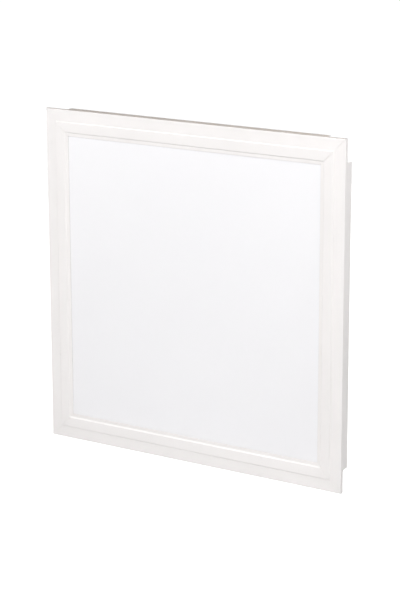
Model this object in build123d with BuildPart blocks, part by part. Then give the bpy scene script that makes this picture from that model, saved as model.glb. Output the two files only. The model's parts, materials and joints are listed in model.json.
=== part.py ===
# Square edge-lit LED panel for a 600 mm ceiling grid, with its driver on the back cover.
# Millimetres. X right, Y backwards, Z up. The panel stands on its lower edge and faces -Y,
# with the origin at the bottom centre. "Depth" is the distance behind the front plane of the
# outer flange; other heights are measured from the panel's centre.
from build123d import *
import os

os.makedirs("parts", exist_ok=True)

# ---------------------------------------------------------------- driving sizes
SIDE = 595.0          # outer square
HALF = SIDE / 2
PROUD = 1.75          # the raised band stands this far in front of the flange
REAR = 40.25          # depth of the driver's top, the rearmost face
CREST = 1.7477        # the band's rounded crest, the foremost line
Y0 = -(REAR - CREST) / 2   # y of the flange plane
GAP = 0.02            # hairline between pieces that touch

LIP = 7.5             # depth of the hollow flange
SHEET_T = 0.8         # back cover steel
RIM_BACK = LIP + SHEET_T
RAISE = 1.5           # the back cover's centre is raised by this
PLATE = RIM_BACK + RAISE   # outer face of the raised centre

SCREW_R = 1.45
SCREW_HOLE_R = 1.5
RIVET_HOLE_R = 2.05
HANGER_HOLE_R = 2.2

RIGHT = (1, 0, 0)
BACK = (0, 1, 0)
UP = (0, 0, 1)


# ---------------------------------------------------------------- places and planes
def point(x, depth, z):
    """World coordinates of a place given from the panel's centre."""
    return (x, Y0 + depth, HALF + z)


def sheet(depth):
    """Plane parallel to the panel, facing forwards; local x right, local y up."""
    return Plane(origin=point(0, depth, 0), x_dir=RIGHT, z_dir=(0, -1, 0))


def spot(x, depth, z):
    """Plane whose normal looks backwards, to stand a fastener on."""
    return Plane(origin=point(x, depth, z), x_dir=RIGHT, z_dir=BACK)


def spots(places, depth):
    """A spot for each (x, z), all at one depth."""
    return [spot(x, depth, z) for x, z in places]


def upright(x, depth, z):
    """Horizontal plane; local x right, local y backwards, normal up."""
    return Plane(origin=point(x, depth, z), x_dir=RIGHT, z_dir=UP)


def slice_at(z):
    """Horizontal plane at a height; local x right, local y the depth."""
    return upright(0, 0, z)


def lengthwise(x, depth, z):
    """Plane whose normal looks right, for round holes along X."""
    return Plane(origin=point(x, depth, z), z_dir=RIGHT)


# ---------------------------------------------------------------- selecting and saving
def at(vertices, x, y):
    """Vertices of a sketch at a local place."""
    return [v for v in vertices if abs(v.X - x) < 0.01 and abs(v.Y - y) < 0.01]


def round_edges(builder, radius):
    """Circular edges of one radius."""
    circles = builder.edges().filter_by(GeomType.CIRCLE)
    return circles.filter_by(lambda e: abs(e.radius - radius) < 0.01)


def save(part, name):
    part.label = name
    export_step(part, "parts/" + name + ".step")


# ---------------------------------------------------------------- fasteners around the edge
CORNERS = [(1, 1), (-1, 1), (-1, -1), (1, -1)]
RIM_HOLE_IN = 13      # cover screws and hangers, from the outer edge
KEY_HOLE_IN = 12      # corner key screws, from the nearer outer edge
KEY_HOLE_RUN = 26     # and from the further one
CLIP_X = 145.0        # ceiling clips, from the centre line
CLIP_IN = 13.5        # clip pivot, from the outer edge
HANGER_X = 237.5      # hanger holes
COVER_SCREW_RUN = (-215, -75, 75, 215)

# (x, z) places
COVER_SCREWS = [(s, side * (HALF - RIM_HOLE_IN)) for side in (1, -1) for s in COVER_SCREW_RUN] \
    + [(side * (HALF - RIM_HOLE_IN), s) for side in (1, -1) for s in COVER_SCREW_RUN]
KEY_SCREWS = [(sx * (HALF - x), sz * (HALF - z)) for sx, sz in CORNERS
              for x, z in ((KEY_HOLE_RUN, KEY_HOLE_IN), (KEY_HOLE_IN, KEY_HOLE_RUN))]
CLIPS = [(sx * CLIP_X, sz * (HALF - CLIP_IN)) for sx, sz in CORNERS]
HANGERS = [(sx * HANGER_X, sz * (HALF - RIM_HOLE_IN)) for sx, sz in CORNERS]

# ---------------------------------------------------------------- frame: four mitred extrusions
FLANGE = 20.4         # width of the flat outer flange
CREST_IN = FLANGE + 1.8    # crest, from the outer edge
STEP = 38.1           # the raised band ends here and drops to the inner ledge
STEP_D = -1.05        # depth of the band at that end
OPENING = 45.8        # distance from the outer edge to the visible diffuser
WEB_IN = 24.0         # inner face of the hollow flange, from the outer edge
WALL = 22.0           # depth of the rear wall
WALL_T = 1.5
WALL_IN = 0.4         # outer face of the rear wall, from the outer edge
NOTCH = 40.0          # the rear wall stops this far from each corner
NOTCH_R = 6.0         # radius at the foot of the wall's end
MITRE_GAP = 0.14      # half of the hairline at each mitre


def frame_side(corner, inward, along):
    """corner: where the extrusion starts; inward: outer edge to opening; along: its run."""
    section_plane = Plane(origin=corner, x_dir=inward, z_dir=along)
    side_plane = Plane(origin=corner, x_dir=along, z_dir=tuple(-c for c in inward))
    run, inner = Vector(*along), Vector(*inward)
    start = Vector(*corner)
    end = start + run * SIDE

    # (distance from the start, distance from the outer edge, radius)
    holes = [(HALF + s, RIM_HOLE_IN, SCREW_HOLE_R) for s in COVER_SCREW_RUN]
    holes += [(s, KEY_HOLE_IN, SCREW_HOLE_R) for s in (KEY_HOLE_RUN, SIDE - KEY_HOLE_RUN)]
    if abs(along[0]) > 0.5:   # only the top and bottom carry clips and hangers
        holes += [(HALF + s, CLIP_IN, RIVET_HOLE_R) for s in (-CLIP_X, CLIP_X)]
        holes += [(HALF + s, RIM_HOLE_IN, HANGER_HOLE_R) for s in (-HANGER_X, HANGER_X)]

    with BuildPart() as side:
        with BuildSketch(section_plane) as section:
            with BuildLine():
                # (distance from the outer edge, depth): flange, domed band, step, sloping
                # ledge, then the inside of the bezel and the rear wall
                Polyline((0, 0), (FLANGE, 0), (CREST_IN, -PROUD))
                ThreePointArc((CREST_IN, -PROUD), (30.2, -1.52), (STEP, STEP_D))
                Polyline(
                    (STEP, STEP_D), (STEP + 2.4, 0.75), (OPENING, 1.0), (OPENING, 1.9),
                    (41.3, 1.9), (39.6, 1.15), (WEB_IN, -0.2), (WEB_IN, LIP),
                    (WALL_IN + WALL_T, LIP), (WALL_IN + WALL_T, WALL), (WALL_IN, WALL),
                    (WALL_IN, LIP), (0, LIP - 0.4), (0, 0),
                )
            make_face()
            for x, y, radius in (
                (0, 0, 0.8), (CREST_IN, -PROUD, 0.5), (STEP, STEP_D, 0.4), (OPENING, 1.0, 0.3),
                (WALL_IN + WALL_T, WALL, 0.4), (WALL_IN, WALL, 0.4),
            ):
                fillet(at(section.vertices(), x, y), radius)
            # hollow chamber for the corner keys
            with Locations((12.0, 3.85)):
                Rectangle(20.8, 4.5, mode=Mode.SUBTRACT)
        extrude(amount=SIDE)
        # the rear wall is cut away near both corners, with a radius at its foot
        with BuildSketch(side_plane) as notch:
            for x, x_align in ((NOTCH, Align.MAX), (SIDE - NOTCH, Align.MIN)):
                with Locations((x, LIP)):
                    Rectangle(NOTCH + 5, 20, align=(x_align, Align.MIN))
            feet = at(notch.vertices(), NOTCH, LIP) + at(notch.vertices(), SIDE - NOTCH, LIP)
            fillet(feet, NOTCH_R)
        extrude(amount=4, both=True, mode=Mode.SUBTRACT)
        split(bisect_by=Plane(origin=start + run * MITRE_GAP, z_dir=run - inner), keep=Keep.TOP)
        split(bisect_by=Plane(origin=end - run * MITRE_GAP, z_dir=-run - inner), keep=Keep.TOP)
        for distance, inset, radius in holes:
            centre = start + run * distance + inner * inset + Vector(0, LIP, 0)
            with Locations(Plane(origin=centre, z_dir=BACK)):
                Cylinder(radius, 6, mode=Mode.SUBTRACT)
    return side.part


def corner_keys():
    """L-shaped keys inside the hollow flanges, one at each corner."""
    outer, inner, tip = HALF - 1.85, HALF - 22.15, HALF - 52
    outline = [(outer, outer), (tip, outer), (tip, inner),
               (inner, inner), (inner, tip), (outer, tip)]
    with BuildPart() as keys:
        with BuildSketch(sheet(1.75)):
            for sx, sz in CORNERS:
                Polygon(*[(sx * x, sz * z) for x, z in outline], align=None)
        extrude(amount=-4.2)
        with Locations(*spots(KEY_SCREWS, 3.85)):
            Cylinder(SCREW_HOLE_R, 12, mode=Mode.SUBTRACT)
    return keys.part


# ---------------------------------------------------------------- screws
def pan_screw(head_r, head_h, shank_r, length):
    """Pan-head screw with a cross recess, seat at z = 0, head upwards."""
    with BuildPart() as screw:
        with BuildSketch(Plane.XY):
            Circle(head_r)
        extrude(amount=head_h)
        fillet(screw.edges().group_by(Axis.Z)[-1], head_h * 0.6)
        with BuildSketch(Plane.XY):
            Circle(shank_r)
        extrude(amount=-length)
        chamfer(screw.edges().group_by(Axis.Z)[0], shank_r * 0.5)
        with BuildSketch(Plane.XY.offset(head_h)):
            Rectangle(head_r * 1.15, head_r * 0.28)
            Rectangle(head_r * 0.28, head_r * 1.15)
        extrude(amount=-head_h * 0.65, mode=Mode.SUBTRACT)
    return screw.part


def screw_set(places, seat, head_r, head_h, shank_r, length):
    """One kind of screw at each (x, z), with the heads seated at a depth."""
    screw = pan_screw(head_r, head_h, shank_r, length)
    with BuildPart() as screws:
        with Locations(*spots(places, seat)):
            add(screw)
    return screws.part


def corner_screws():
    return screw_set(KEY_SCREWS, LIP + 0.01, head_r=2.8, head_h=1.9, shank_r=SCREW_R, length=5.3)


def cover_screws():
    return screw_set(COVER_SCREWS, RIM_BACK + GAP,
                     head_r=3.1, head_h=2.1, shank_r=SCREW_R, length=6.2)


# ---------------------------------------------------------------- optical stack
LEAD_X = 112.0        # the output lead runs up at this x
GROMMET_Z = 225.0

# depth of each layer's front face, and its thickness
GASKET_D, GASKET_T = 1.18, 0.71
DIFFUSER_D, DIFFUSER_T = 1.92, 1.8
GUIDE_D, GUIDE_T = 3.80, 3.0
REFLECTOR_D, REFLECTOR_T = 6.83, 0.25
FOAM_D, FOAM_T = 7.12, 1.8


def front_gasket():
    """Foam seal between the bezel and the diffuser."""
    with BuildPart() as seal:
        with BuildSketch(sheet(GASKET_D)):
            Rectangle(SIDE - 72, SIDE - 72)
            Rectangle(SIDE - 78.8, SIDE - 78.8, mode=Mode.SUBTRACT)
        extrude(amount=-GASKET_T)
    return seal.part


def diffuser():
    with BuildPart() as plate:
        with BuildSketch(sheet(DIFFUSER_D)):
            RectangleRounded(540, 535, 2)
        extrude(amount=-DIFFUSER_T)
    return plate.part


def light_guide():
    with BuildPart() as plate:
        with BuildSketch(sheet(GUIDE_D)):
            Rectangle(542.2, 537)
        extrude(amount=-GUIDE_T)
        chamfer(plate.edges().filter_by(Axis.Y), 0.8)
    return plate.part


def reflector_sheet():
    with BuildPart() as plate:
        with BuildSketch(sheet(REFLECTOR_D)):
            Rectangle(541, 536)
        extrude(amount=-REFLECTOR_T)
    return plate.part


def foam_pad():
    """Pad with a slot for the wires from the grommet to the top edge."""
    with BuildPart() as pad:
        with BuildSketch(sheet(FOAM_D)):
            Rectangle(537, 533)
            with Locations((LEAD_X, GROMMET_Z - 10)):
                Rectangle(16, 80, align=(Align.CENTER, Align.MIN), mode=Mode.SUBTRACT)
        extrude(amount=-FOAM_T)
    return pad.part


def edge_tapes():
    """Thin tapes along the top and bottom edges of the light guide."""
    with BuildPart() as tapes:
        with BuildSketch(sheet(3.85)):
            with Locations((0, 268.75), (0, -268.75)):
                Rectangle(536, 0.3)
        extrude(amount=-2.9)
    return tapes.part


# ---------------------------------------------------------------- light source
BAR_IN = 24.15        # outer face of the LED strip, from the panel's outer edge
BAR_T = 1.0
CHIP_COUNT = 70
CHIP_PITCH = 7.2


def led_bar(sign):
    """Aluminium-core strip on the web of the left (-1) or right (+1) extrusion."""
    with BuildPart() as bar:
        with BuildSketch(Plane(origin=point(sign * (HALF - BAR_IN), 4.85, 0),
                               x_dir=BACK, z_dir=(-sign, 0, 0))):
            Rectangle(4.9, 511)
        extrude(amount=BAR_T)
    return bar.part


def led_chips(sign):
    """Row of chips on the inner face of a strip."""
    with BuildPart() as chips:
        with BuildSketch(Plane(origin=point(sign * (HALF - BAR_IN - BAR_T), 5.3, 0),
                               x_dir=BACK, z_dir=(-sign, 0, 0))):
            with GridLocations(1, CHIP_PITCH, 1, CHIP_COUNT):
                Rectangle(2.0, 3.4)
        extrude(amount=0.7)
    return chips.part


def bar_tapes():
    """Tapes between the strips and the extrusions."""
    with BuildPart() as tapes:
        with BuildSketch(sheet(2.6)):
            with Locations((HALF - 24.075, 0), (-HALF + 24.075, 0)):
                Rectangle(0.13, 508)
        extrude(amount=-4.5)
    return tapes.part


# ---------------------------------------------------------------- wires inside the panel
WIRE_R = 0.55
WIRE_PITCH = 1.4      # between the two wires of a pair
CHANNEL_D = 7.95      # depth of the wires
CHANNEL_Z = 270.4     # outer wire in the top or bottom channel
STRIP_X = HALF - 26.8      # outer wire beside a strip
STRIP_Z = 257         # the wires end here


def tube(points, radius, start_tangent, end_tangent):
    """Round wire or cable on a spline through (x, depth, z) points."""
    with BuildPart() as wire:
        with BuildLine() as path:
            Spline(*[point(*p) for p in points], tangents=(start_tangent, end_tangent))
        with BuildSketch(Plane(origin=path.line @ 0, z_dir=path.line % 0)):
            Circle(radius)
        sweep()
    return wire.part


def bent_wire(points, radius, bend):
    """Round wire along straight runs with bends, through (x, depth, z) points."""
    with BuildPart() as wire:
        with BuildLine() as path:
            FilletPolyline(*[point(*p) for p in points], radius=bend)
        with BuildSketch(Plane(origin=path.line @ 0, z_dir=path.line % 0)):
            Circle(radius)
        sweep()
    return wire.part


def wire_pair(route):
    """Two wires side by side; route gives the (x, z) points for an offset from the first."""
    with BuildPart() as wires:
        for offset in (0.0, WIRE_PITCH):
            points = [(x, CHANNEL_D, z) for x, z in route(offset)]
            add(bent_wire(points, WIRE_R, 2.5 - offset * 0.9))
    return wires.part


def panel_wires():
    """From the grommet along the slot and the top channel to the right strip."""
    def route(offset):
        rise_x = LEAD_X - WIRE_PITCH / 2 + offset
        top, right = CHANNEL_Z - offset, STRIP_X - offset
        return [(rise_x, 223.5), (rise_x, top), (right, top), (right, STRIP_Z)]
    return wire_pair(route)


def link_wires():
    """Along the bottom channel, joining the strips."""
    def route(offset):
        bottom, side = -CHANNEL_Z + offset, STRIP_X - offset
        return [(-side, -STRIP_Z), (-side, bottom), (side, bottom), (side, -STRIP_Z)]
    return wire_pair(route)


# ---------------------------------------------------------------- back cover: one pressed sheet
COVER_HALF = HALF - 4
CORNER_CUT = 36.0     # legs of the cut-off corners
RIB_H = 1.4
# x, z, turn in degrees, length, width of each raised rib
RIBS = [
    (180, 180, 45, 150, 18), (-180, 180, 135, 150, 18),
    (-180, -180, 45, 150, 18), (180, -180, 135, 150, 18),
    (-160, 0, 90, 130, 14), (160, 0, 90, 130, 14),
    (-10, -110, 0, 150, 14), (-10, 110, 0, 150, 14),
]


def back_cover():
    far, near = COVER_HALF, COVER_HALF - CORNER_CUT
    outline = [(near, far), (far, near), (far, -near), (near, -far),
               (-near, -far), (-far, -near), (-far, near), (-near, far)]
    with BuildPart() as cover:
        with BuildSketch(sheet(LIP)) as rim:
            Polygon(*outline, align=None)
            fillet(rim.vertices(), 3)
        extrude(amount=-SHEET_T)
        # raised centre and ribs: first the outside, then the hollow in front, a little smaller
        for base, side, radius, rib_shrink, mode in (
            (RIM_BACK, SIDE - 49.2, 4, 0, Mode.ADD),
            (LIP, SIDE - 49.86, 3.7, 0.7, Mode.SUBTRACT),
        ):
            with BuildSketch(sheet(base)):
                RectangleRounded(side, side, radius)
            extrude(amount=-RAISE, taper=45, mode=mode)
            with BuildSketch(sheet(base + RAISE)):
                for x, z, turn, length, width in RIBS:
                    with Locations(Location((x, z, 0), (0, 0, turn))):
                        SlotOverall(length - rib_shrink, width - rib_shrink)
            extrude(amount=-RIB_H, taper=40, mode=mode)
        for places, radius in (
            (COVER_SCREWS, 1.7), (CLIPS, RIVET_HOLE_R), (HANGERS, HANGER_HOLE_R),
        ):
            with Locations(*spots(places, LIP)):
                Cylinder(radius, 6, mode=Mode.SUBTRACT)
        with Locations(spot(LEAD_X, 9.4, GROMMET_Z)):
            Cylinder(4.5, 6, mode=Mode.SUBTRACT)
    return cover.part


# ---------------------------------------------------------------- ceiling clips
CLIP_W = 8.0
CLIP_T = 1.0
CLIP_FRONT = RIM_BACK + 0.05
CLIP_REAR = 39.5
CLIP_STEM = 9.0       # pivot to the stem
CLIP_REACH = 22.0     # pivot to the finger's tip


def grid_clip(sx, sz):
    """Bent steel strip on a rivet; its rear finger points towards the middle."""
    pivot_x, pivot_z = sx * CLIP_X, sz * (HALF - CLIP_IN)
    inward = -sx
    stem_in = CLIP_STEM + CLIP_T
    foot_back, finger_front = CLIP_FRONT + CLIP_T, CLIP_REAR - CLIP_T
    with BuildPart() as clip:
        # profile of the strip, extruded across its width
        with BuildSketch(Plane(origin=point(pivot_x, 0, pivot_z - inward * CLIP_W / 2),
                               x_dir=(inward, 0, 0), z_dir=(0, 0, inward))) as strip:
            with BuildLine():
                Polyline((0, CLIP_FRONT), (stem_in, CLIP_FRONT), (stem_in, finger_front),
                         (CLIP_REACH, finger_front), (CLIP_REACH, CLIP_REAR),
                         (CLIP_STEM, CLIP_REAR), (CLIP_STEM, foot_back), (0, foot_back),
                         close=True)
            make_face()
            fillet(at(strip.vertices(), stem_in, CLIP_FRONT)
                   + at(strip.vertices(), CLIP_STEM, CLIP_REAR), 1.2)
            fillet(at(strip.vertices(), CLIP_STEM, foot_back)
                   + at(strip.vertices(), stem_in, finger_front), 0.4)
        extrude(amount=CLIP_W)
        with BuildSketch(sheet(CLIP_FRONT)):
            with Locations((pivot_x, pivot_z)):
                Circle(5.5)
        extrude(amount=-CLIP_T)
        with Locations(spot(pivot_x, 8.8, pivot_z)):
            Cylinder(2.08, 6, mode=Mode.SUBTRACT)
    return clip.part


def clip_rivets():
    with BuildPart() as rivet:
        # shank, rear head, then the flat front head
        with BuildSketch(Plane.XY):
            Circle(2.0)
        extrude(amount=3.9)
        with BuildSketch(Plane.XY.offset(3.4)):
            Circle(3.7)
        extrude(amount=1.2)
        fillet(rivet.edges().group_by(Axis.Z)[-1], 0.9)
        with BuildSketch(Plane.XY):
            Circle(2.9)
        extrude(amount=-0.8)
    with BuildPart() as rivets:
        with Locations(*spots(CLIPS, 6.05)):
            add(rivet.part)
    return rivets.part


# ---------------------------------------------------------------- studs on the back cover
DRIVER_STUDS = [(-87, 0), (87, 0)]
EARTH_STUD = (-58, 44)
EAR_T = 3.0           # driver's fixing ears
LUG_T = 0.8


def cover_studs():
    with BuildPart() as studs:
        for places, height in ((DRIVER_STUDS, 8.2), ([EARTH_STUD], 6.0)):
            with BuildSketch(sheet(PLATE + 0.01)):
                with Locations(*places):
                    Circle(1.95)
            extrude(amount=-height)
        # only the two driver studs reach the rearmost group
        chamfer(studs.edges().filter_by(GeomType.CIRCLE).group_by(Axis.Y)[-1], 0.4)
    return studs.part


def stud_nuts():
    """Flanged hexagon nuts, on the driver's ears and on the earth lug."""
    with BuildPart() as nut:
        with BuildSketch(Plane.XY):
            RegularPolygon(3.5, 6, major_radius=False)
        extrude(amount=2.9)
        with BuildSketch(Plane.XY):
            Circle(4.4)
        extrude(amount=0.6)
        with Locations((0, 0, 1.5)):
            Cylinder(1.99, 8, mode=Mode.SUBTRACT)
        chamfer(nut.edges().filter_by(GeomType.CIRCLE).group_by(Axis.Z)[-1], 0.3)
    seats = spots(DRIVER_STUDS, PLATE + EAR_T + 2 * GAP)
    seats += spots([EARTH_STUD], PLATE + LUG_T + 3 * GAP)
    with BuildPart() as nuts:
        with Locations(*seats):
            add(nut.part)
    return nuts.part


# ---------------------------------------------------------------- output lead
LEAD_R = 2.45
LEAD_HOLE_R = 2.5     # bore of the connector halves
JOINT_D = 15.5        # depth of the connector's axis
HELD_D = 12.7         # depth of the lead under its saddle clip
OUTPUT_D = 24         # depth at which the lead leaves the driver
JOINT_R = 5.3         # connector body
NECK_R = 4.2
BODY_L = 18
PLUG_Z = 57           # bottom of the plug
SOCKET_Z = 81.3       # bottom of the socket
SOCKET_NECK_L = 8


def lead_grommet():
    with BuildPart() as grommet:
        with BuildSketch(sheet(8.65)):
            with Locations((LEAD_X, GROMMET_Z)):
                Circle(4.45)
        extrude(amount=-2.9)
        with BuildSketch(sheet(PLATE + GAP)):
            with Locations((LEAD_X, GROMMET_Z)):
                Circle(7.0)
        extrude(amount=-1.8)
        fillet(grommet.edges().group_by(Axis.Y)[-1], 0.8)
        with Locations(spot(LEAD_X, 10, GROMMET_Z)):
            Cylinder(2.55, 10, mode=Mode.SUBTRACT)
    return grommet.part


def panel_lead():
    """From the socket, under the saddle clip, over and into the grommet."""
    socket_end = point(LEAD_X, JOINT_D, 109)
    held_start = point(LEAD_X, HELD_D, 138)
    held_end = point(LEAD_X, HELD_D, 184)
    with BuildPart() as lead:
        with BuildLine() as run:
            Line(point(LEAD_X, JOINT_D, 104), socket_end)
            Spline(socket_end, held_start, tangents=(UP, UP))
            Line(held_start, held_end)
            Spline(held_end, point(LEAD_X, 17.5, 202), point(LEAD_X, 21.5, 215),
                   point(LEAD_X, 18.5, 223.8), point(LEAD_X, 8.7, GROMMET_Z),
                   tangents=(UP, (0, -1, 0)))
        with BuildSketch(Plane(origin=run.line @ 0, z_dir=run.line % 0)):
            Circle(LEAD_R)
        sweep()
    return lead.part


def lead_plug():
    """Lower half of the round connector, on the driver side."""
    with BuildPart() as plug:
        # height of the foot, radius, length: neck, body, tip
        for z, radius, length in (
            (PLUG_Z, NECK_R, 6), (PLUG_Z + 6, JOINT_R, BODY_L), (PLUG_Z + 6 + BODY_L, 2.4, 7.5),
        ):
            with BuildSketch(upright(LEAD_X, JOINT_D, z)):
                Circle(radius)
            extrude(amount=length)
        chamfer(plug.edges().filter_by(GeomType.CIRCLE).group_by(Axis.Z)[0], 0.8)
        fillet(round_edges(plug, JOINT_R), 0.5)
        # the lead enters from below
        with Locations(upright(LEAD_X, JOINT_D, PLUG_Z)):
            Cylinder(LEAD_HOLE_R, 12, mode=Mode.SUBTRACT)
    return plug.part


def lead_socket():
    """Upper half of the round connector, on the panel side."""
    neck_z = SOCKET_Z + BODY_L
    with BuildPart() as socket:
        for z, radius, length in (
            (SOCKET_Z, JOINT_R, BODY_L), (neck_z, NECK_R, SOCKET_NECK_L),
        ):
            with BuildSketch(upright(LEAD_X, JOINT_D, z)):
                Circle(radius)
            extrude(amount=length)
        fillet(round_edges(socket, JOINT_R), 0.5)
        # bores for the plug's tip and for the lead
        for z, length in ((SOCKET_Z, 16), (neck_z + SOCKET_NECK_L, 8)):
            with Locations(upright(LEAD_X, JOINT_D, z)):
                Cylinder(LEAD_HOLE_R, length, mode=Mode.SUBTRACT)
    return socket.part


def driver_lead():
    """From the driver's right end, turning up into the plug."""
    points = [(70, OUTPUT_D, 0), (84, OUTPUT_D, 0), (99, 21, 4), (109, 16.5, 16),
              (LEAD_X, 14.8, 34), (LEAD_X, JOINT_D, 62.5)]
    with BuildPart() as lead:
        add(tube(points, LEAD_R, RIGHT, UP))
    return lead.part


def lead_clip():
    """Saddle clip that holds the lead to the back cover."""
    with BuildPart() as clip:
        with BuildSketch(upright(LEAD_X, 0, 160)):
            with Locations((0, PLATE + GAP)):
                Rectangle(20, 1.4, align=(Align.CENTER, Align.MIN))
                Rectangle(8.6, 3.0, align=(Align.CENTER, Align.MIN))
            with Locations((0, 12.75)):
                Circle(4.3)
            with Locations((0, HELD_D)):
                Circle(2.52, mode=Mode.SUBTRACT)
            # cut off what would reach into the cover
            with Locations((0, PLATE - 4)):
                Rectangle(30, 4 + GAP, align=(Align.CENTER, Align.MIN), mode=Mode.SUBTRACT)
        extrude(amount=8)
    return clip.part


# ---------------------------------------------------------------- driver case
DRV_X = 80.0          # half length
DRV_Z = 27.0          # half width
CASE_T = 2.0          # wall, floor and lid thickness
BASE0 = PLATE + GAP   # underside of the driver
FLOOR = BASE0 + CASE_T
BASE1 = 30.0          # top of the base walls
LID0 = BASE1 + 2 * GAP
CAP_H = REAR - LID0   # height of the lid and of the terminal cover
INNER_Z = 2 * DRV_Z - 2 * CASE_T   # inside width

LID_END = -38.5       # left end of the lid
COVER_END = -42.4     # right end of the terminal cover
PARTITION_X = -37.5
HINGE_X = -40
PIVOT_D = 39.0        # depth of the hinge axis
KNUCKLE_R = 1.25
SINK = 2.6            # lid screw heads lie this deep

BOARD_POST_H = 3.2
CLAMP_POST_H = 5.2
MAINS_D = 21          # depth of the mains entry
WIRE_D = 19           # depth of the inner wires and the earth wire
WIRE_Z = 8            # inner wires, either side of the centre
EARTH_X = -52
# (x, z) places of screws
BOARD_SCREWS = [(x, z) for x in (-29, 62) for z in (-19, 19)]
LID_SCREWS = [(73.5, 20.5), (73.5, -20.5)]
CLAMP_SCREWS = [(-70, 11.5), (-70, -11.5)]


def driver_base():
    with BuildPart() as base:
        with BuildSketch(sheet(BASE0)):
            RectangleRounded(2 * DRV_X, 2 * DRV_Z, 3)
        extrude(amount=-(BASE1 - BASE0))
        with BuildSketch(sheet(FLOOR)):
            RectangleRounded(2 * DRV_X - 2 * CASE_T, INNER_Z, 1.5)
        extrude(amount=-30, mode=Mode.SUBTRACT)
        # fixing ears
        with BuildSketch(sheet(BASE0)):
            with Locations((-DRV_X - 4.5, 0), (DRV_X + 4.5, 0)):
                RectangleRounded(15, 18, 4)
            Rectangle(2 * DRV_X - 6, 30, mode=Mode.SUBTRACT)
        extrude(amount=-EAR_T)
        # wall between the electronics and the terminals
        with BuildSketch(sheet(FLOOR)):
            with Locations((PARTITION_X, 0)):
                Rectangle(2.0, INNER_Z)
        extrude(amount=-(BASE1 - FLOOR))
        # posts for the board, the lid and the cable clamp
        for places, radius, height in (
            (BOARD_SCREWS, 3, BOARD_POST_H),
            (LID_SCREWS, 4, BASE1 - FLOOR),
            (CLAMP_SCREWS, 3.2, CLAMP_POST_H),
        ):
            with BuildSketch(sheet(FLOOR)):
                with Locations(*places):
                    Circle(radius)
            extrude(amount=-height)
        # stud and screw holes: places, middle depth, radius, length
        for places, depth, radius, length in (
            (DRIVER_STUDS, BASE0, 2.2, 12),
            (BOARD_SCREWS, BASE0 + 6, 1.05, 8),
            (LID_SCREWS, BASE1, SCREW_HOLE_R, 28),
            (CLAMP_SCREWS, BASE0 + 7, SCREW_HOLE_R, 9),
        ):
            with Locations(*spots(places, depth)):
                Cylinder(radius, length, mode=Mode.SUBTRACT)
        # entries: mains, output, earth through the side, inner wires through the partition
        for plane, radius, length in (
            (lengthwise(-79, MAINS_D, 0), 5.5, 6),
            (lengthwise(79, OUTPUT_D, 0), 4.0, 6),
            (upright(EARTH_X, WIRE_D, 26), 1.8, 6),
            (lengthwise(PARTITION_X, WIRE_D, WIRE_Z), 1.5, 4),
            (lengthwise(PARTITION_X, WIRE_D, -WIRE_Z), 1.5, 4),
        ):
            with Locations(plane):
                Cylinder(radius, length, mode=Mode.SUBTRACT)
    return base.part


def driver_lid():
    inner_end = LID_END + CASE_T
    with BuildPart() as lid:
        with BuildSketch(sheet(LID0)):
            with Locations((LID_END, 0)):
                Rectangle(DRV_X - LID_END, 2 * DRV_Z, align=(Align.MIN, Align.CENTER))
        extrude(amount=-CAP_H)
        fillet(lid.edges().filter_by(Axis.Y).group_by(Axis.X)[-1], 3)
        top_edges = lid.faces().sort_by(Axis.Y)[-1].edges()
        fillet(top_edges.filter_by(lambda e: e.center().X > LID_END + 0.5), 1.2)
        with BuildSketch(sheet(LID0)):
            with Locations((inner_end, 0)):
                Rectangle(DRV_X - inner_end - CASE_T, INNER_Z, align=(Align.MIN, Align.CENTER))
        extrude(amount=-(CAP_H - CASE_T), mode=Mode.SUBTRACT)
        # posts over the screws
        with BuildSketch(sheet(LID0)):
            with Locations(*LID_SCREWS):
                Circle(4.4)
        extrude(amount=-(CAP_H - 0.5))
        # hinge ears for the terminal cover
        for z in (-25.6, 22.2):
            with BuildSketch(slice_at(z)):
                with Locations((HINGE_X, PIVOT_D)):
                    Circle(KNUCKLE_R)
                with Locations((HINGE_X, PIVOT_D - KNUCKLE_R)):
                    Rectangle(3.0, 2 * KNUCKLE_R, align=(Align.MIN, Align.MIN))
            extrude(amount=3.4)
        with Locations(upright(HINGE_X, PIVOT_D, 0)):
            Cylinder(0.62, 52, mode=Mode.SUBTRACT)
        with Locations(*spots(LID_SCREWS, 36)):
            Cylinder(1.7, 20, mode=Mode.SUBTRACT)
        with Locations(*spots(LID_SCREWS, REAR)):
            Cylinder(3.0, 2 * SINK, mode=Mode.SUBTRACT)
        # row of cooling slots
        with BuildSketch(sheet(REAR)):
            with GridLocations(7, 1, 8, 1):
                with Locations((20, 0)):
                    SlotOverall(26, 2.2, rotation=90)
        extrude(amount=CASE_T + 1, mode=Mode.SUBTRACT)
    return lid.part


def lid_screws():
    return screw_set(LID_SCREWS, REAR - SINK + GAP,
                     head_r=2.7, head_h=1.8, shank_r=SCREW_R, length=18)


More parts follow.
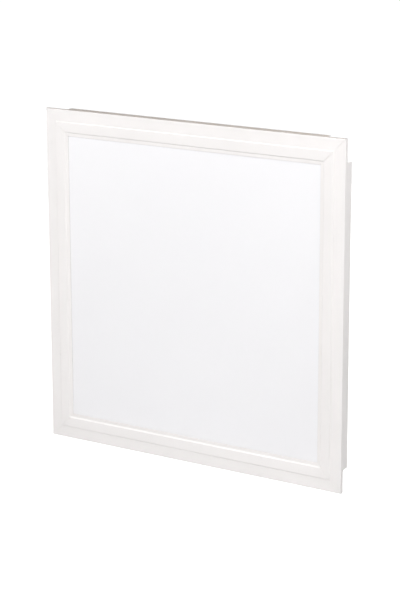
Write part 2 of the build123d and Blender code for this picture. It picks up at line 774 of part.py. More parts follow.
def terminal_cover():
    """Cap with skirts on three sides, hinged on a pin beside the lid."""
    with BuildPart() as cover:
        with BuildSketch(sheet(LID0)):
            with Locations((-DRV_X, 0)):
                Rectangle(DRV_X + COVER_END, 2 * DRV_Z, align=(Align.MIN, Align.CENTER))
        extrude(amount=-CAP_H)
        fillet(cover.edges().filter_by(Axis.Y).group_by(Axis.X)[0], 3)
        top_edges = cover.faces().sort_by(Axis.Y)[-1].edges()
        fillet(top_edges.filter_by(lambda e: e.center().X < COVER_END - 0.1), 1.2)
        # the hollow runs out through the end beside the lid
        with BuildSketch(sheet(LID0)):
            with Locations((-DRV_X + CASE_T, 0)):
                Rectangle(40, INNER_Z, align=(Align.MIN, Align.CENTER))
        extrude(amount=-(CAP_H - CASE_T), mode=Mode.SUBTRACT)
        # knuckle between the lid's ears
        with BuildSketch(slice_at(-21.9)):
            with Locations((HINGE_X, PIVOT_D)):
                Circle(KNUCKLE_R)
            with Locations((HINGE_X, PIVOT_D - 0.75)):
                Rectangle(3.0, 2.0, align=(Align.MAX, Align.MIN))
        extrude(amount=43.8)
        with Locations(upright(HINGE_X, PIVOT_D, 0)):
            Cylinder(0.68, 52, mode=Mode.SUBTRACT)
        # thumb notch at the free end
        with BuildSketch(Plane(origin=point(-DRV_X, 33.2, 0), x_dir=BACK, z_dir=(-1, 0, 0))):
            SlotOverall(14, 2.0, rotation=90)
        extrude(amount=-0.8, mode=Mode.SUBTRACT)
    return cover.part


def cover_pin():
    with BuildPart() as pin:
        with BuildSketch(upright(HINGE_X, PIVOT_D, -25.5)):
            Circle(0.6)
        extrude(amount=51)
    return pin.part


# ---------------------------------------------------------------- driver electronics
BOARD_T = 1.6
BOARD0 = FLOOR + BOARD_POST_H + 2 * GAP
BOARD1 = BOARD0 + BOARD_T
TRANSFORMER_X = 12


def driver_board():
    with BuildPart() as board:
        with BuildSketch(sheet(BOARD0)):
            with Locations((-34, 0)):
                Rectangle(101, 45, align=(Align.MIN, Align.CENTER))
        extrude(amount=-BOARD_T)
        with Locations(*spots(BOARD_SCREWS, BOARD0)):
            Cylinder(1.3, 6, mode=Mode.SUBTRACT)
    return board.part


def board_screws():
    return screw_set(BOARD_SCREWS, BOARD1 + GAP, head_r=2.2, head_h=1.4, shank_r=1.0, length=4.5)


def transformer_core():
    """Block with two windows for the coil."""
    with BuildPart() as core:
        with BuildSketch(upright(TRANSFORMER_X, 0, -9)):
            with Locations((0, BOARD1 + 1.52)):
                Rectangle(26, 18.5, align=(Align.CENTER, Align.MIN))
            with Locations((-8, BOARD1 + 5.0), (8, BOARD1 + 5.0)):
                Rectangle(6.6, 11.5, align=(Align.CENTER, Align.MIN), mode=Mode.SUBTRACT)
        extrude(amount=18)
        chamfer(core.edges().filter_by(Axis.Z).group_by(Axis.Y)[-1], 1)
    return core.part


def transformer_coil():
    with BuildPart() as coil:
        with BuildSketch(sheet(BOARD1 + 5.1)):
            with Locations((TRANSFORMER_X, 0)):
                RectangleRounded(21.6, 26, 5)
                Rectangle(9.6, 18.2, mode=Mode.SUBTRACT)
        extrude(amount=-11.2)
    return coil.part


def capacitors():
    with BuildPart() as cans:
        # x, z, radius, height
        for x, z, radius, height in (
            (-17, 9, 7.0, 19), (-17, -9.5, 5.0, 14), (44, 11, 6.0, 18), (44, -11, 6.0, 18),
        ):
            with BuildSketch(sheet(BOARD1 + GAP)):
                with Locations((x, z)):
                    Circle(radius)
            extrude(amount=-height)
        fillet(cans.edges().filter_by(GeomType.CIRCLE), 0.6)
    return cans.part


def heat_sink():
    """Upright plate with a flange at its rear edge."""
    with BuildPart() as sink:
        with BuildSketch(upright(31, 0, -14)):
            with Locations((0, BOARD1 + GAP)):
                Rectangle(1.6, 17, align=(Align.CENTER, Align.MIN))
            with Locations((0, BOARD1 + 15.42)):
                Rectangle(5.6, 1.6, align=(Align.MIN, Align.MIN))
        extrude(amount=28)
    return sink.part


def input_wires():
    """Two wires from the terminal block through the partition down to the board."""
    with BuildPart() as wires:
        for sign in (1, -1):
            z = sign * WIRE_Z
            points = [(-42.8, WIRE_D, z), (PARTITION_X, WIRE_D, z), (-32, 19.5, z),
                      (-30, BOARD1 + 0.1, sign * 7)]
            add(tube(points, 0.75, RIGHT, (0, -1, 0)))
    return wires.part


def driver_bushing():
    """Flanged bushing where the output lead leaves the case."""
    with BuildPart() as bushing:
        for x, radius, length in ((77.2, 3.95, 8), (DRV_X + GAP, 5.2, 2.0)):
            with BuildSketch(Plane(origin=point(x, OUTPUT_D, 0), x_dir=BACK, z_dir=RIGHT)):
                Circle(radius)
            extrude(amount=length)
        with Locations(lengthwise(DRV_X, OUTPUT_D, 0)):
            Cylinder(2.65, 30, mode=Mode.SUBTRACT)
        fillet(round_edges(bushing, 5.2), 0.5)
    return bushing.part


# ---------------------------------------------------------------- mains terminals
CLAMP_D = FLOOR + CLAMP_POST_H + 2 * GAP   # front face of the cable clamp
CLAMP_T = 3
BLOCK_D = FLOOR + GAP      # front face of the terminal block
TERMINAL_Z = 10            # pitch of the three terminals
LEVER_X = -47              # lever pivot
LEVER_D = 22.0


def mains_bushing():
    """Flanged bushing where the mains cable enters."""
    with BuildPart() as bushing:
        for x, radius, length in ((-77.0, 5.45, 5), (-DRV_X - GAP, 7.4, 2.0)):
            with BuildSketch(Plane(origin=point(x, MAINS_D, 0), x_dir=BACK, z_dir=(-1, 0, 0))):
                Circle(radius)
            extrude(amount=length)
        fillet(bushing.edges().filter_by(GeomType.CIRCLE).group_by(Axis.X)[0], 0.7)
        with Locations(lengthwise(-DRV_X, MAINS_D, 0)):
            Cylinder(3.8, 20, mode=Mode.SUBTRACT)
    return bushing.part


def cable_clamp():
    """Bar with an arch at its middle; the sketch's local y looks forwards."""
    with BuildPart() as clamp:
        with BuildSketch(Plane(origin=point(-73, 0, 0), x_dir=UP, z_dir=RIGHT)):
            with Locations((0, -CLAMP_D)):
                Rectangle(30, CLAMP_T, align=(Align.CENTER, Align.MAX))
                Circle(7.5)
                Circle(4.8, mode=Mode.SUBTRACT)
                Rectangle(40, 10, align=(Align.CENTER, Align.MIN), mode=Mode.SUBTRACT)
        extrude(amount=6)
        with Locations(*spots(CLAMP_SCREWS, BASE0 + 8)):
            Cylinder(1.7, 10, mode=Mode.SUBTRACT)
    return clamp.part


def clamp_screws():
    return screw_set(CLAMP_SCREWS, CLAMP_D + CLAMP_T + GAP,
                     head_r=2.7, head_h=1.8, shank_r=SCREW_R, length=7)


def terminal_block():
    with BuildPart() as block:
        with BuildSketch(sheet(BLOCK_D)):
            with Locations((-52, 0)):
                RectangleRounded(18, 33, 1)
        extrude(amount=-13.2)
        # one pocket for each terminal
        with BuildSketch(sheet(BLOCK_D + 4)):
            with Locations((-52.8, -TERMINAL_Z), (-52.8, 0), (-52.8, TERMINAL_Z)):
                Rectangle(17.4, 6.4)
        extrude(amount=-20, mode=Mode.SUBTRACT)
        with Locations(upright(LEVER_X, LEVER_D, 0)):
            Cylinder(0.85, 31, mode=Mode.SUBTRACT)
        with Locations(lengthwise(-44, WIRE_D, WIRE_Z), lengthwise(-44, WIRE_D, -WIRE_Z)):
            Cylinder(0.9, 4, mode=Mode.SUBTRACT)
    return block.part


def terminal_contacts():
    """One leaf on the floor of each pocket."""
    with BuildPart() as contacts:
        with BuildSketch(slice_at(0)):
            with BuildLine():
                # (x, depth)
                Polyline((-60, BLOCK_D + 4.02), (-45.5, BLOCK_D + 4.02), (-45.5, BLOCK_D + 4.6),
                         (-52, BLOCK_D + 4.6), (-58, BLOCK_D + 6.2), (-60, BLOCK_D + 5.4),
                         close=True)
            make_face()
        extrude(amount=2.2, both=True)
        with Locations(Location((0, 0, TERMINAL_Z)), Location((0, 0, -TERMINAL_Z))):
            add(contacts.part)
    return contacts.part


def lever_pin():
    with BuildPart() as pin:
        with BuildSketch(upright(LEVER_X, LEVER_D, -15.3)):
            Circle(0.8)
        extrude(amount=30.6)
    return pin.part


def lever(z):
    """Clamping lever of one terminal; its free end points to the cable entry."""
    with BuildPart() as arm:
        with BuildSketch(slice_at(z)) as profile:
            with Locations((LEVER_X, LEVER_D)):
                Circle(2.2)
            with BuildLine():
                # (x, depth)
                Polyline((-61.2, 25.1), (-50, 25.1), (-47.6, 24.4), (-44.8, 22.6),
                         (-47, 20.5), (-51, 21.6), (-58, 23.3), (-61.2, 23.3), close=True)
            make_face()
            fillet(at(profile.vertices(), -61.2, 25.1) + at(profile.vertices(), -61.2, 23.3), 0.6)
        extrude(amount=2.8, both=True)
        with Locations(upright(LEVER_X, LEVER_D, z)):
            Cylinder(0.86, 10, mode=Mode.SUBTRACT)
    return arm.part


# ---------------------------------------------------------------- earth lead
EARTH_D = 11.6        # depth of the wire's end at the lug
EARTH_DIR = (-0.5, 0, 0.85)   # the wire's direction there


def earth_wire():
    """From the terminal block to the stud on the back cover."""
    points = [(EARTH_X, WIRE_D, 16.7), (EARTH_X, WIRE_D, 26), (-52.1, 17, 30.3),
              (-53, 12.9, 33.0), (-54.6, EARTH_D, 35.7)]
    with BuildPart() as wire:
        add(tube(points, 0.9, UP, EARTH_DIR))
    return wire.part


def earth_lug():
    """Ring and tongue on the stud, with a barrel for the wire."""
    with BuildPart() as lug:
        with BuildSketch(sheet(PLATE + GAP)):
            with Locations(EARTH_STUD):
                Circle(3.9)
            with Locations(Location((-56.0, 39.5, 0), (0, 0, -60))):
                Rectangle(8, 3.0)
            with Locations(EARTH_STUD):
                Circle(2.05, mode=Mode.SUBTRACT)
        extrude(amount=-LUG_T)
        with BuildSketch(Plane(origin=point(-54.3, EARTH_D, 35.2), z_dir=EARTH_DIR)):
            Circle(1.8)
            Circle(1.15, mode=Mode.SUBTRACT)
        extrude(amount=3.4)
    return lug.part


# ---------------------------------------------------------------- build and save
# name, starting corner, inward direction, run
for place, corner, inward, along in (
    ("top", (-HALF, Y0, SIDE), (0, 0, -1), (1, 0, 0)),
    ("bottom", (HALF, Y0, 0), (0, 0, 1), (-1, 0, 0)),
    ("left", (-HALF, Y0, 0), (1, 0, 0), (0, 0, 1)),
    ("right", (HALF, Y0, SIDE), (-1, 0, 0), (0, 0, -1)),
):
    save(frame_side(corner, inward, along), "frame_" + place)

for side_name, sx in (("left", -1), ("right", 1)):
    save(led_bar(sx), "led_bar_" + side_name)
    save(led_chips(sx), "led_chips_" + side_name)
    for end_name, sz in (("top", 1), ("bottom", -1)):
        save(grid_clip(sx, sz), f"grid_clip_{end_name}_{side_name}")

for wire_name, z in (("live", TERMINAL_Z), ("earth", 0), ("neutral", -TERMINAL_Z)):
    save(lever(z), "lever_" + wire_name)

# the rest are saved under the names of their functions
for build in (
    corner_keys, corner_screws, cover_screws,
    front_gasket, diffuser, light_guide, reflector_sheet, foam_pad, edge_tapes,
    bar_tapes, panel_wires, link_wires,
    back_cover, clip_rivets, cover_studs, stud_nuts,
    lead_grommet, panel_lead, lead_plug, lead_socket, driver_lead, lead_clip,
    driver_base, driver_lid, lid_screws, terminal_cover, cover_pin,
    driver_board, board_screws, transformer_core, transformer_coil, capacitors, heat_sink,
    input_wires, driver_bushing,
    mains_bushing, cable_clamp, clamp_screws, terminal_block, terminal_contacts, lever_pin,
    earth_wire, earth_lug,
):
    save(build(), build.__name__)
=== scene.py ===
# A square light panel with an opal sheet, its driver, leads and fittings, as CAD pieces.
# The panel stands upright on the floor, z up, centred on x, and its lit face looks towards -y.
# This script gives the pieces procedural finishes and sets up the floor, world, lights and camera.
import bpy, bmesh, json, math
from mathutils import Vector, Matrix


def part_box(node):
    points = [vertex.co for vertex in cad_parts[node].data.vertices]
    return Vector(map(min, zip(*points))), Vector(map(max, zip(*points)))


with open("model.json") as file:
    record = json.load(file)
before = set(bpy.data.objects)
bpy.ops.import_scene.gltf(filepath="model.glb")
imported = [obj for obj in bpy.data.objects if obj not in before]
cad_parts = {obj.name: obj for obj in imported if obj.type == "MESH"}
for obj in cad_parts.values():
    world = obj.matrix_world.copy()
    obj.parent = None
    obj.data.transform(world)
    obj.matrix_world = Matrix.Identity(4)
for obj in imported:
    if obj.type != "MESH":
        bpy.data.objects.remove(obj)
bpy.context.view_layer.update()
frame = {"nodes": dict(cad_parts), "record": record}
NODES = frame["nodes"]
SLOT = {part["node"]: part["material_slot"] for part in frame["record"]["subparts"]}
COLOR = {entry["slot"]: entry["base_color"][:3] for entry in frame["record"]["materials"]}
scene = bpy.context.scene

# Floor
FLOOR_SIZE = 14.0
FLOOR_CELLS = 8
FLOOR_DROP = 0.0005  # keeps the floor just under the panel
FLOOR_GLOW = 0.04    # light the floor gives off, as seen by everything but the camera

# Strength of the surrounding light, by direction
WALLS = 0.07         # extra towards the walls in front and behind
CEILING = 0.0        # extra overhead
SIDES = 0.03         # everywhere

# Softboxes: azimuth 0 stands in front of the lit face, positive towards +x
LIGHT_TINT = (1, 0.997, 0.993)
LIGHT_TARGET = Vector((0, 0, 0.33))
LIGHT_BASE_HEIGHT = 0.3
SOFTBOXES = [
    # name, azimuth (deg), elevation (deg), power (W), side length, distance
    ("front_left", -36, 37, 19.8, 1.2, 1.9),
    ("front_right", 42, 36, 17.5, 1.2, 1.9),
    ("right_side", 84, 40, 7.4, 0.8, 1.5),
    ("rear_middle", 180, 6, 19.0, 1.0, 2.3),
    ("rear_left", -108, 8, 16.0, 1.2, 2.3),
]

# Camera: the pose takes panel axes to view axes, which run x right, y down, z ahead
SENSOR_WIDTH = 36.0      # mm
FOCAL_LENGTH = 122.7744  # mm
CLIP_END = 100
POSE_TURN = Vector((1.7660, 0.5214, -0.4083))  # rotation axis times angle in radians
POSE_SHIFT = Vector((-0.0174875, -0.0061185, 3.4715553))  # pose origin in view axes
POSE_ORIGIN_HEIGHT = 0.2975
POSE_ORIGIN_DEPTH = 0.0017252  # behind the front of the top frame piece


# ---------------------------------------------------------------- node helpers
class Graph:
    """An emptied node tree of a material or a world."""

    def __init__(self, owner):
        owner.use_nodes = True
        self.tree = owner.node_tree
        self.tree.nodes.clear()

    def add(self, kind):
        return self.tree.nodes.new("ShaderNode" + kind)

    def link(self, source, target):
        self.tree.links.new(source, target)

    def feed(self, socket, value):
        """Gives a socket a number, a colour or a link."""
        if isinstance(value, (int, float)):
            socket.default_value = value
        elif isinstance(value, (tuple, list)):
            socket.default_value = (*value[:3], 1)
        else:
            self.link(value, socket)

    def math(self, operation, first, second=0.0):
        node = self.add("Math")
        node.operation = operation
        self.feed(node.inputs[0], first)
        self.feed(node.inputs[1], second)
        return node.outputs[0]

    def multiply(self, first, second):
        return self.math("MULTIPLY", first, second)


def set_inputs(node, **values):
    """Sets inputs by name, with underscores standing for spaces."""
    for key, value in values.items():
        node.inputs[key.replace("_", " ")].default_value = value


class Finish(Graph):
    """A material with one Principled shader, textured in object coordinates."""

    def __init__(self, name):
        self.material = bpy.data.materials.new(name)
        super().__init__(self.material)
        output = self.add("OutputMaterial")
        self.shader = self.add("BsdfPrincipled")
        self.link(self.shader.outputs[0], output.inputs["Surface"])
        self.coord = self.add("TexCoord").outputs["Object"]

    def surface(self, color, roughness, normal=None, **settings):
        """Feeds the shader and returns the finished material."""
        self.feed(self.shader.inputs["Base Color"], color)
        self.feed(self.shader.inputs["Roughness"], roughness)
        if normal is not None:
            self.link(normal, self.shader.inputs["Normal"])
        set_inputs(self.shader, **settings)
        return self.material

    def stretched(self, scale):
        node = self.add("Mapping")
        node.inputs["Scale"].default_value = scale
        self.link(self.coord, node.inputs["Vector"])
        return node.outputs[0]

    def noise(self, scale, detail=3.0, roughness=0.5, vector=None):
        node = self.add("TexNoise")
        self.link(vector or self.coord, node.inputs["Vector"])
        set_inputs(node, Scale=scale, Detail=detail, Roughness=roughness)
        return node.outputs["Fac"]

    def voronoi(self, scale, feature="F1"):
        node = self.add("TexVoronoi")
        node.feature = feature
        self.link(self.coord, node.inputs["Vector"])
        set_inputs(node, Scale=scale)
        return node.outputs["Distance"]

    def remap(self, value, span, to=(0.0, 1.0)):
        node = self.add("MapRange")
        for index, limit in enumerate((*span, *to), 1):
            node.inputs[index].default_value = limit
        self.link(value, node.inputs[0])
        return node.outputs[0]

    def noise_between(self, low, high, span=(0.3, 0.7), **noise):
        """Noise whose values in span are spread from low to high."""
        return self.remap(self.noise(**noise), span, to=(low, high))

    def mix(self, factor, first, second):
        node = self.add("Mix")
        node.data_type = "RGBA"
        for index, value in ((0, factor), (6, first), (7, second)):
            self.feed(node.inputs[index], value)
        return node.outputs[2]

    def lay(self, base, over, mask, amount):
        """Lays a colour over the base where the mask is high."""
        return self.mix(self.multiply(mask, amount), base, over)

    def bump(self, height, strength, distance, normal=None):
        node = self.add("Bump")
        set_inputs(node, Strength=strength, Distance=distance)
        self.link(height, node.inputs["Height"])
        if normal is not None:
            self.link(normal, node.inputs["Normal"])
        return node.outputs[0]

    def upward(self):
        """1 on faces that look up, where a dusting and painted shade darken them."""
        split = self.add("SeparateXYZ")
        self.link(self.add("NewGeometry").outputs["Normal"], split.inputs[0])
        return self.remap(split.outputs["Z"], span=(0.80, 0.98))

    def rounded(self, radius):
        """Normal with slightly rounded edges."""
        node = self.add("Bevel")
        node.samples = 4
        set_inputs(node, Radius=radius)
        return node.outputs[0]

    def edges(self, rounded):
        """1 on edges, where the rounded normal leaves the true one."""
        node = self.add("VectorMath")
        node.operation = "DOT_PRODUCT"
        self.link(rounded, node.inputs[0])
        self.link(self.add("NewGeometry").outputs["Normal"], node.inputs[1])
        return self.remap(node.outputs["Value"], span=(0.995, 0.85))

    def crevices(self, distance, span):
        """1 in crevices, 0 in the open; span is the range of openness between them."""
        node = self.add("AmbientOcclusion")
        node.samples = 8
        set_inputs(node, Distance=distance)
        return self.remap(node.outputs["AO"], span, to=(1.0, 0.0))


def scaled(color, factor):
    return [channel * factor for channel in color]


def lightened(color, factor, lift=0.0):
    return [min(1.0, channel * factor + lift) for channel in color]


# ---------------------------------------------------------------- finishes
def paint(name, color, rough, crevice_dust_and_shade_amount, peel_scale=900.0, peel_depth=0.000012, blotch=0.015, coat=0.0):
    """Sprayed or powder-coated paint: orange peel, fine grit, slow colour drift, and a dusting
    with painted shade in crevices and on faces that look up.
    """
    crevice_dust_and_shade, top_dust_and_shade = (0.55, 0.52, 0.48), (0.66, 0.54, 0.43)
    worn_color = (0.74, 0.74, 0.73)
    graph = Finish(name)
    drift = graph.noise_between(0.0, 1.0, scale=7.0, detail=4.0)
    base = graph.mix(drift, scaled(color, 1 - blotch), lightened(color, 1 + blotch))
    # dust and painted shade in the crevices, darkest where the ambient occlusion is deepest
    crevice = graph.crevices(distance=0.004, span=(0.35, 0.95))
    fleck = graph.noise_between(0.4, 1.0, span=(0.45, 0.75), scale=260.0, detail=5.0,
                                roughness=0.65)
    base = graph.lay(base, crevice_dust_and_shade, mask=graph.multiply(crevice, fleck), amount=crevice_dust_and_shade_amount)
    # dust and painted shade on faces that look up: the tops are darker and browner
    patches = graph.noise_between(0.55, 1.0, scale=55.0, detail=5.0, roughness=0.65)
    top_dust_and_shade_mask = graph.multiply(graph.upward(), patches)
    base = graph.lay(base, top_dust_and_shade, mask=top_dust_and_shade_mask, amount=0.58)
    # edges rubbed lighter and smoother
    soft = graph.rounded(radius=0.0004)
    edge = graph.edges(soft)
    rub = graph.multiply(edge, graph.noise_between(
        0.15, 1.0, span=(0.5, 0.72), scale=140.0, detail=4.0, roughness=0.6))
    base = graph.lay(base, worn_color, mask=rub, amount=0.12)
    broad = graph.noise_between(rough - 0.06, rough + 0.06, span=(0.25, 0.75),
                                scale=38.0, detail=4.0)
    fine = graph.noise_between(-0.03, 0.03, scale=1500.0, detail=2.0)
    roughness = graph.math("SUBTRACT", graph.math("ADD", broad, fine), graph.multiply(rub, 0.08))
    peel = graph.bump(graph.noise(scale=peel_scale, detail=2.0, roughness=0.45),
                      strength=0.35, distance=peel_depth, normal=soft)
    grit = graph.bump(graph.noise(scale=4200.0, detail=2.0, roughness=0.6),
                      strength=0.3, distance=0.000004, normal=peel)
    return graph.surface(base, roughness, grit, Specular_IOR_Level=0.5,
                         Coat_Weight=coat, Coat_Roughness=0.25)


def opal(name, color):
    """Opal sheet with a fine satin face and a soft glow under the surface."""
    speck_color, gap_shade_color = (0.80, 0.80, 0.80), (0.34, 0.31, 0.29)
    graph = Finish(name)
    cloud = graph.noise_between(0.0, 1.0, scale=3.2)
    base = graph.mix(cloud, scaled(color, 0.992), lightened(color, 1.006))
    speck = graph.remap(graph.voronoi(scale=420.0), span=(0.0, 0.05), to=(1.0, 0.0))
    base = graph.lay(base, speck_color, mask=speck, amount=0.05)
    # painted shade in the gap along the lip's edge, weaker towards the bottom
    gap_shade = graph.crevices(distance=0.0025, span=(0.4, 0.88))
    split = graph.add("SeparateXYZ")
    graph.link(graph.coord, split.inputs[0])
    gap_shade_by_height = graph.remap(split.outputs["Z"], span=(0.055, 0.075), to=(0.35, 0.95))
    base = graph.lay(base, gap_shade_color, mask=gap_shade, amount=gap_shade_by_height)
    roughness = graph.noise_between(0.46, 0.56, scale=22.0)
    satin = graph.bump(graph.noise(scale=2600.0, roughness=0.6), strength=0.25, distance=0.000006)
    waves = graph.bump(graph.noise(scale=1.6, detail=1.0), strength=0.25, distance=0.0004,
                       normal=satin)
    return graph.surface(base, roughness, waves, Specular_IOR_Level=0.45, Subsurface_Weight=0.15,
                         Subsurface_Scale=0.004, Subsurface_Radius=(1.0, 0.98, 0.95))


def moulded(name, color, rough=0.5, spark_depth=0.00003, coat=0.0):
    """Injection-moulded plastic with a spark-eroded texture, painted shade in crevices and painted
    highlights on edges.
    """
    graph = Finish(name)
    drift = graph.noise_between(0.0, 1.0, scale=18.0, detail=4.0)
    base = graph.mix(drift, scaled(color, 0.98), lightened(color, 1.02))
    # painted shade: the plastic is darker in its crevices
    crevice = graph.crevices(distance=0.002, span=(0.3, 0.95))
    base = graph.lay(base, scaled(color, 0.55), mask=crevice, amount=0.12)
    soft = graph.rounded(radius=0.00025)
    edge = graph.edges(soft)
    # painted highlight: edges lighter than the faces
    base = graph.lay(base, lightened(color, 1.15, lift=0.01), mask=edge, amount=0.15)
    roughness = graph.noise_between(rough - 0.07, rough + 0.07, span=(0.25, 0.75),
                                    scale=70.0, detail=4.0)
    spark = graph.bump(graph.noise(scale=1500.0, detail=4.0, roughness=0.7),
                       strength=0.55, distance=spark_depth, normal=soft)
    waves = graph.bump(graph.noise(scale=55.0, detail=2.0), strength=0.2, distance=0.00006,
                       normal=spark)
    return graph.surface(base, roughness, waves, Specular_IOR_Level=0.5,
                         Coat_Weight=coat, Coat_Roughness=0.15)


def metal(name, color, rough, stretch=(1, 1, 1), tint_amount=0.25):
    """Bare or zinc-plated metal: rolled or turned grain, slight passivation colour and painted
    shade in crevices.
    """
    tint, crevice_shade_color = (0.80, 0.78, 0.66), (0.16, 0.15, 0.14)
    grain = {"scale": 900.0, "roughness": 0.6}
    graph = Finish(name)
    grain["vector"] = graph.stretched(stretch)
    cloud = graph.noise_between(0.0, tint_amount, span=(0.35, 0.7), scale=120.0, detail=5.0,
                                roughness=0.6)
    base = graph.mix(cloud, color, tint)
    # painted shade: the metal is darker in its crevices
    crevice = graph.crevices(distance=0.0015, span=(0.25, 0.9))
    base = graph.lay(base, crevice_shade_color, mask=crevice, amount=0.5)
    fine = graph.noise_between(rough - 0.10, rough + 0.12, span=(0.25, 0.75), detail=4.0, **grain)
    broad = graph.noise_between(-0.05, 0.05, scale=60.0)
    soft = graph.rounded(radius=0.0002)
    normal = graph.bump(graph.noise(**grain), strength=0.4, distance=0.00001, normal=soft)
    return graph.surface(base, graph.math("ADD", fine, broad), normal, Metallic=1.0)


def sheath(name, color):
    """Extruded cable sheath: faint ripples and a waxy skin."""
    graph = Finish(name)
    drift = graph.noise_between(0.0, 1.0, scale=90.0, detail=4.0)
    base = graph.mix(drift, scaled(color, 0.96), color)
    roughness = graph.noise_between(0.42, 0.56, scale=300.0)
    ripples = graph.bump(graph.noise(scale=700.0, roughness=0.55), strength=0.35, distance=0.00003)
    return graph.surface(base, roughness, ripples)


def foam(name, color):
    """Closed-cell foam, darker along the cell walls."""
    graph = Finish(name)
    cell = graph.voronoi(scale=900.0, feature="DISTANCE_TO_EDGE")
    base = graph.mix(graph.remap(cell, span=(0.0, 0.12)), scaled(color, 0.72), color)
    roughness = graph.noise_between(0.82, 0.95, scale=80.0)
    return graph.surface(base, roughness, graph.bump(cell, strength=0.6, distance=0.0002))


def board(name, color):
    """Circuit board with a woven pattern of two crossed, stretched noises."""
    graph = Finish(name)
    threads = [graph.noise(scale=600.0, detail=1.0, vector=graph.stretched(stretch))
               for stretch in ((1, 1, 0.1), (0.1, 1, 1))]
    weave = graph.multiply(*threads)
    base = graph.mix(graph.remap(weave, span=(0.15, 0.4)), scaled(color, 0.8), scaled(color, 1.25))
    roughness = graph.noise_between(0.28, 0.40, scale=120.0)
    return graph.surface(base, roughness, graph.bump(weave, strength=0.3, distance=0.00003))


def clear(name, color):
    """Clear acrylic with matt, pale dots."""
    graph = Finish(name)
    dots = graph.remap(graph.voronoi(scale=500.0), span=(0.1, 0.25), to=(1.0, 0.0))
    base = graph.mix(dots, color, (0.95, 0.96, 0.96))
    roughness = graph.remap(dots, span=(0.0, 1.0), to=(0.04, 0.5))
    normal = graph.bump(dots, strength=0.3, distance=0.00004)
    return graph.surface(base, roughness, normal, Transmission_Weight=0.7, IOR=1.49)


def stripes(name, first, second):
    """Two-colour insulation, as on an earth wire."""
    graph = Finish(name)
    wave = graph.add("TexWave")
    graph.link(graph.coord, wave.inputs["Vector"])
    set_inputs(wave, Scale=160.0, Distortion=0.6, Detail=1.0)
    base = graph.mix(graph.remap(wave.outputs["Fac"], span=(0.45, 0.55)), first, second)
    roughness = graph.noise_between(0.38, 0.52, scale=400.0)
    normal = graph.bump(graph.noise(scale=900.0, detail=2.0), strength=0.3, distance=0.00002)
    return graph.surface(base, roughness, normal)


# CAD material slot: finish
FINISHES = {
    "white_powder_coat": paint("powder_coat_white", (0.908, 0.884, 0.877), rough=0.34, crevice_dust_and_shade_amount=0.03),
    "cover_paint": paint("cover_coil_paint", (0.80, 0.80, 0.795), rough=0.36, crevice_dust_and_shade_amount=0.22,
                         peel_scale=500.0, peel_depth=0.00002, blotch=0.02, coat=0.15),
    "opal_diffuser": opal("opal_sheet", (0.95, 0.944, 0.967)),
    "clear_acrylic": clear("light_guide_acrylic", COLOR["clear_acrylic"]),
    "reflector_white": moulded("reflector_film", COLOR["reflector_white"], rough=0.35,
                               spark_depth=0.000006),
    "foam": foam("closed_cell_foam", COLOR["foam"]),
    "raw_aluminium": metal("mill_aluminium", (0.80, 0.81, 0.82), rough=0.38,
                           stretch=(1, 1, 0.05), tint_amount=0.05),
    "led_phosphor": moulded("led_phosphor", COLOR["led_phosphor"], rough=0.4),
    "tape": moulded("thermal_tape", COLOR["tape"], rough=0.7),
    "wire_red": sheath("wire_red", COLOR["wire_red"]),
    "wire_brown": sheath("wire_brown", COLOR["wire_brown"]),
    "wire_earth": stripes("wire_green_yellow", (0.05, 0.32, 0.08), (0.82, 0.70, 0.05)),
    "zinc_steel": metal("zinc_steel", (0.74, 0.75, 0.77), rough=0.30),
    "spring_steel": metal("spring_steel", (0.66, 0.66, 0.67), rough=0.28,
                          stretch=(0.06, 1, 1), tint_amount=0.08),
    "lead_sheath": sheath("lead_sheath_white", (0.80, 0.80, 0.79)),
    "black_rubber": moulded("moulded_rubber", (0.025, 0.025, 0.027), rough=0.68,
                            spark_depth=0.00004),
    "connector_plastic": moulded("connector_nylon", (0.82, 0.82, 0.81), rough=0.38,
                                 spark_depth=0.000015),
    "driver_plastic": moulded("driver_polycarbonate", (0.83, 0.83, 0.82), rough=0.52,
                              spark_depth=0.00004),
    "circuit_board": board("circuit_board_green", COLOR["circuit_board"]),
    "ferrite": moulded("ferrite", COLOR["ferrite"], rough=0.6),
    "coil_tape": moulded("coil_tape", COLOR["coil_tape"], rough=0.3),
    "capacitor_sleeve": moulded("capacitor_sleeve", COLOR["capacitor_sleeve"], rough=0.25,
                                coat=0.4),
    "clamp_plastic": moulded("clamp_nylon", COLOR["clamp_plastic"], rough=0.45),
    "terminal_plastic": moulded("terminal_nylon", COLOR["terminal_plastic"], rough=0.45),
    "lever_plastic": moulded("lever_nylon", COLOR["lever_plastic"], rough=0.33,
                             spark_depth=0.000012),
    "contact_brass": metal("contact_brass", COLOR["contact_brass"], rough=0.35),
}
for name, piece in NODES.items():
    finish = FINISHES[SLOT[name]]
    if not piece.data.materials:
        piece.data.materials.append(finish)
    for slot in piece.material_slots:
        slot.link = "DATA"
        slot.material = finish


# ---------------------------------------------------------------- stage, light and camera
def place(name, data):
    placed = bpy.data.objects.new(name, data)
    scene.collection.objects.link(placed)
    return placed


def floor_finish():
    """Matt white that the camera sees as fully bright."""
    graph = Finish("floor_white")
    base = graph.mix(graph.noise(scale=2.0), (0.76, 0.76, 0.76), (0.78, 0.78, 0.78))
    seen = graph.add("LightPath").outputs["Is Camera Ray"]
    glow = graph.remap(seen, span=(0.0, 1.0), to=(FLOOR_GLOW, 1.0))
    graph.link(glow, graph.shader.inputs["Emission Strength"])
    return graph.surface(base, 0.9, Specular_IOR_Level=0.1, Emission_Color=(1, 1, 1, 1))


def build_floor():
    mesh = bpy.data.meshes.new("floor")
    grid = bmesh.new()
    bmesh.ops.create_grid(grid, x_segments=FLOOR_CELLS, y_segments=FLOOR_CELLS, size=FLOOR_SIZE)
    grid.to_mesh(mesh)
    grid.free()
    floor = place("floor", mesh)
    floor.location = (0, 0, -FLOOR_DROP)
    mesh.materials.append(floor_finish())


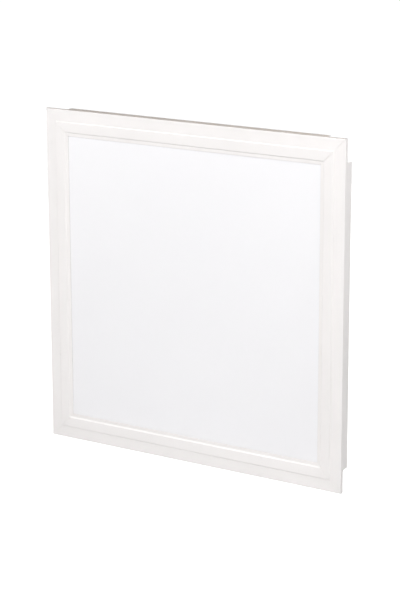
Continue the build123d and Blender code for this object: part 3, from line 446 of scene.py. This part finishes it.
def build_world():
    """White to the camera; to the pieces, bright in front and behind, dim above and aside."""
    world = bpy.data.worlds.new("studio")
    scene.world = world
    graph = Graph(world)
    output = graph.add("OutputWorld")
    switch = graph.add("MixShader")
    ambient = graph.add("Background")
    backdrop = graph.add("Background")
    path = graph.add("LightPath")
    set_inputs(ambient, Color=(1.0, 0.995, 0.985, 1))
    set_inputs(backdrop, Color=(1, 1, 1, 1), Strength=1.0)
    split = graph.add("SeparateXYZ")
    graph.link(graph.add("TexCoord").outputs["Generated"], split.inputs[0])
    facing = graph.math("ABSOLUTE", split.outputs["Y"])
    overhead = graph.math("MAXIMUM", split.outputs["Z"])
    upper = graph.math("ADD", graph.multiply(overhead, CEILING), SIDES)
    strength = graph.math("ADD", graph.multiply(facing, WALLS), upper)
    graph.link(strength, ambient.inputs["Strength"])
    graph.link(path.outputs["Is Camera Ray"], switch.inputs[0])
    graph.link(ambient.outputs[0], switch.inputs[1])
    graph.link(backdrop.outputs[0], switch.inputs[2])
    graph.link(switch.outputs[0], output.inputs["Surface"])


def build_softbox(name, azimuth, elevation, power, size, distance):
    """Square softbox aimed at the panel."""
    turn, rise = math.radians(azimuth), math.radians(elevation)
    light = bpy.data.lights.new(name, "AREA")
    light.shape = "RECTANGLE"
    light.size = light.size_y = size
    light.energy = power
    light.color = LIGHT_TINT
    softbox = place(name, light)
    softbox.location = (distance * math.sin(turn) * math.cos(rise),
                        -distance * math.cos(turn) * math.cos(rise),
                        LIGHT_BASE_HEIGHT + distance * math.sin(rise))
    aim = LIGHT_TARGET - softbox.location
    softbox.rotation_euler = aim.to_track_quat("-Z", "Y").to_euler()


def build_camera():
    lens = bpy.data.cameras.new("camera")
    lens.sensor_width = SENSOR_WIDTH
    lens.sensor_fit = "AUTO"
    lens.lens = FOCAL_LENGTH
    lens.clip_end = CLIP_END
    camera = place("camera", lens)
    to_panel = Matrix.Rotation(POSE_TURN.length, 3, POSE_TURN.normalized()).transposed()
    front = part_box("frame_top")[0].y
    origin = Vector((0.0, front + POSE_ORIGIN_DEPTH, POSE_ORIGIN_HEIGHT))
    # the camera object looks along -z with y up, so two view axes flip
    turn = to_panel @ Matrix.Diagonal((1, -1, -1))
    camera.matrix_world = Matrix.Translation(origin - to_panel @ POSE_SHIFT) @ turn.to_4x4()
    scene.camera = camera


build_floor()
build_world()
for softbox_row in SOFTBOXES:
    build_softbox(*softbox_row)
build_camera()
scene.view_settings.view_transform = "Standard"
scene.view_settings.look = "None"
scene.view_settings.exposure = 0.0
